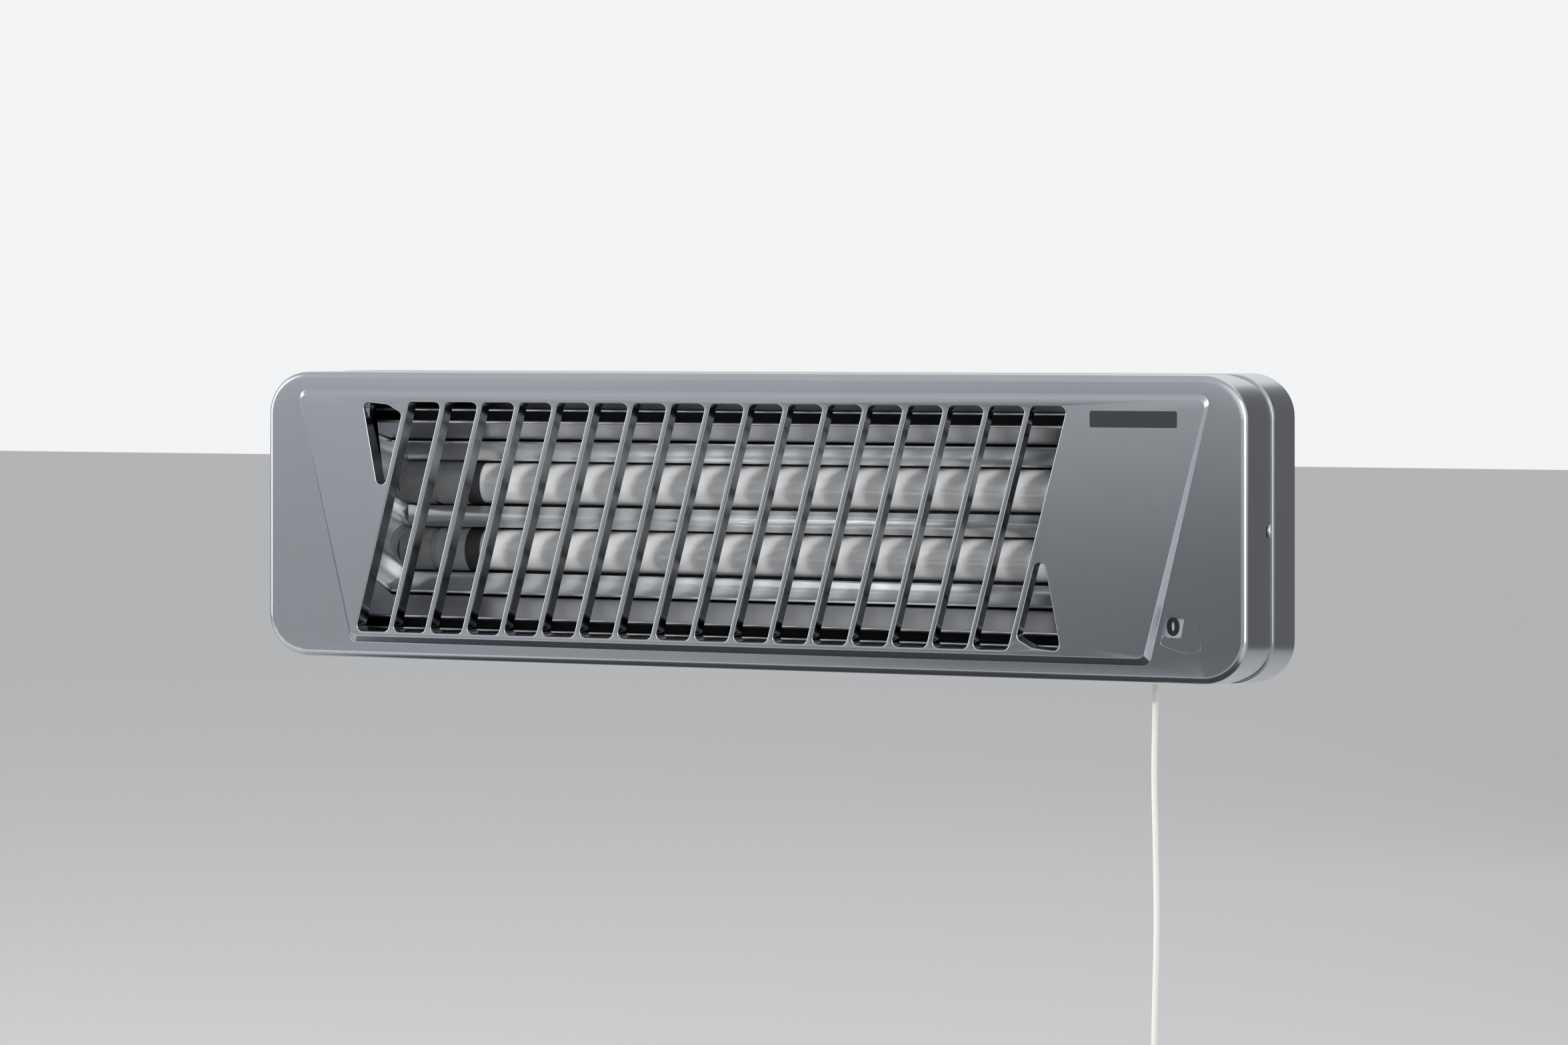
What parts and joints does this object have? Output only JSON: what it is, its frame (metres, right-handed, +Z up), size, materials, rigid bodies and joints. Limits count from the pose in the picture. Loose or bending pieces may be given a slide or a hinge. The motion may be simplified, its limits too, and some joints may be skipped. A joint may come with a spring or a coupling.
{
  "type": "electric bar heater",
  "caption": "Wall-mounted quartz bar heater in a grey steel casing with slanted grille bars, a polished reflector, a tilting wall bracket and a pull cord switch.",
  "frame": {"origin": "middle of the two wall screw holes, on the wall plane", "axes": "+X along the casing to the viewer's right, +Y into the wall, +Z up"},
  "size_m": [0.449, 0.106, 0.3766],
  "materials": {
    "casing": "satin",
    "galvanised": "satin",
    "steel": "satin",
    "tray": "satin",
    "polished": "polished",
    "quartz": "milky",
    "ceramic": "matt",
    "dark_ring": "matt",
    "coil_wire": "oxidised",
    "brass": "satin",
    "rubber": "matt",
    "dark_plastic": "matt",
    "white_plastic": "gloss",
    "disc_silver": "satin",
    "clear": "clear",
    "badge": "satin",
    "brown_wire": "matt",
    "blue_wire": "matt",
    "cord": "braided"
  },
  "bodies": {
    "bracket": {"wall_bracket": "galvanised", "pivot_pins": "steel", "pivot_washers": "dark_plastic", "pivot_nuts": "steel"},
    "heater": {"hinge_yoke": "galvanised", "yoke_screws": "steel", "rear_shell": "casing", "front_cover": "casing", "cover_screws": "steel", "blank_badge": "badge", "indicator_window": "clear", "reflector_tray": "tray", "tray_screws": "steel", "reflector": "polished", "left_reflector_end": "polished", "right_reflector_end": "polished", "upper_quartz_tube": "quartz", "lower_quartz_tube": "quartz", "upper_heating_coil": "coil_wire", "lower_heating_coil": "coil_wire", "left_end_caps": "ceramic", "right_end_caps": "ceramic", "left_tube_collars": "dark_ring", "right_tube_collars": "dark_ring", "terminal_studs": "steel", "terminal_nuts": "brass", "left_link_strip": "galvanised", "thermal_cutout": "ceramic", "terminal_block": "white_plastic", "terminal_screws": "brass", "earth_screw": "brass", "inlet_grommet": "rubber", "return_wire": "blue_wire", "live_wire": "brown_wire", "cutout_wire": "brown_wire", "upper_feed_wire": "brown_wire", "lower_feed_wire": "brown_wire", "switch_housing": "dark_plastic", "switch_lid": "dark_plastic", "switch_screws": "steel", "contact_blades": "brass", "cord_bush": "dark_plastic", "return_spring": "steel"},
    "pull": {"pull_slider": "white_plastic"},
    "dial": {"dial_shaft": "steel", "indicator_disc": "disc_silver", "ratchet_wheel": "brass", "switch_cam": "white_plastic"},
    "cord": {"pull_cord": "cord", "cord_beads": "cord", "pull_knob": "white_plastic"}
  },
  "joints": [
    {"name": "tilt", "type": "hinge", "parent": "bracket", "child": "heater", "pos_m": [0, -0.009, -0.048], "axis": [1, 0, 0], "range_deg": [0, 35]},
    {"name": "cord_pull", "type": "slide", "parent": "heater", "child": "pull", "axis": [0, 0, -1], "range_m": [0, 0.0077], "stiffness_N_per_m": 300, "springref_m": -0.02, "deforming": ["return_spring"]},
    {"name": "indicator_turn", "type": "hinge", "parent": "heater", "child": "dial", "pos_m": [0.1896, -0.09, -0.024], "axis": [0, 1, 0], "continuous": true},
    {"name": "cord_swing", "type": "hinge", "parent": "pull", "child": "cord", "pos_m": [0.1773, -0.079, -0.06458], "axis": [1, 0, 0], "range_deg": [-35, 0]}
  ],
  "couplings": [
    {"joint": "cord_swing", "follows": "tilt", "ratio": -1}
  ]
}
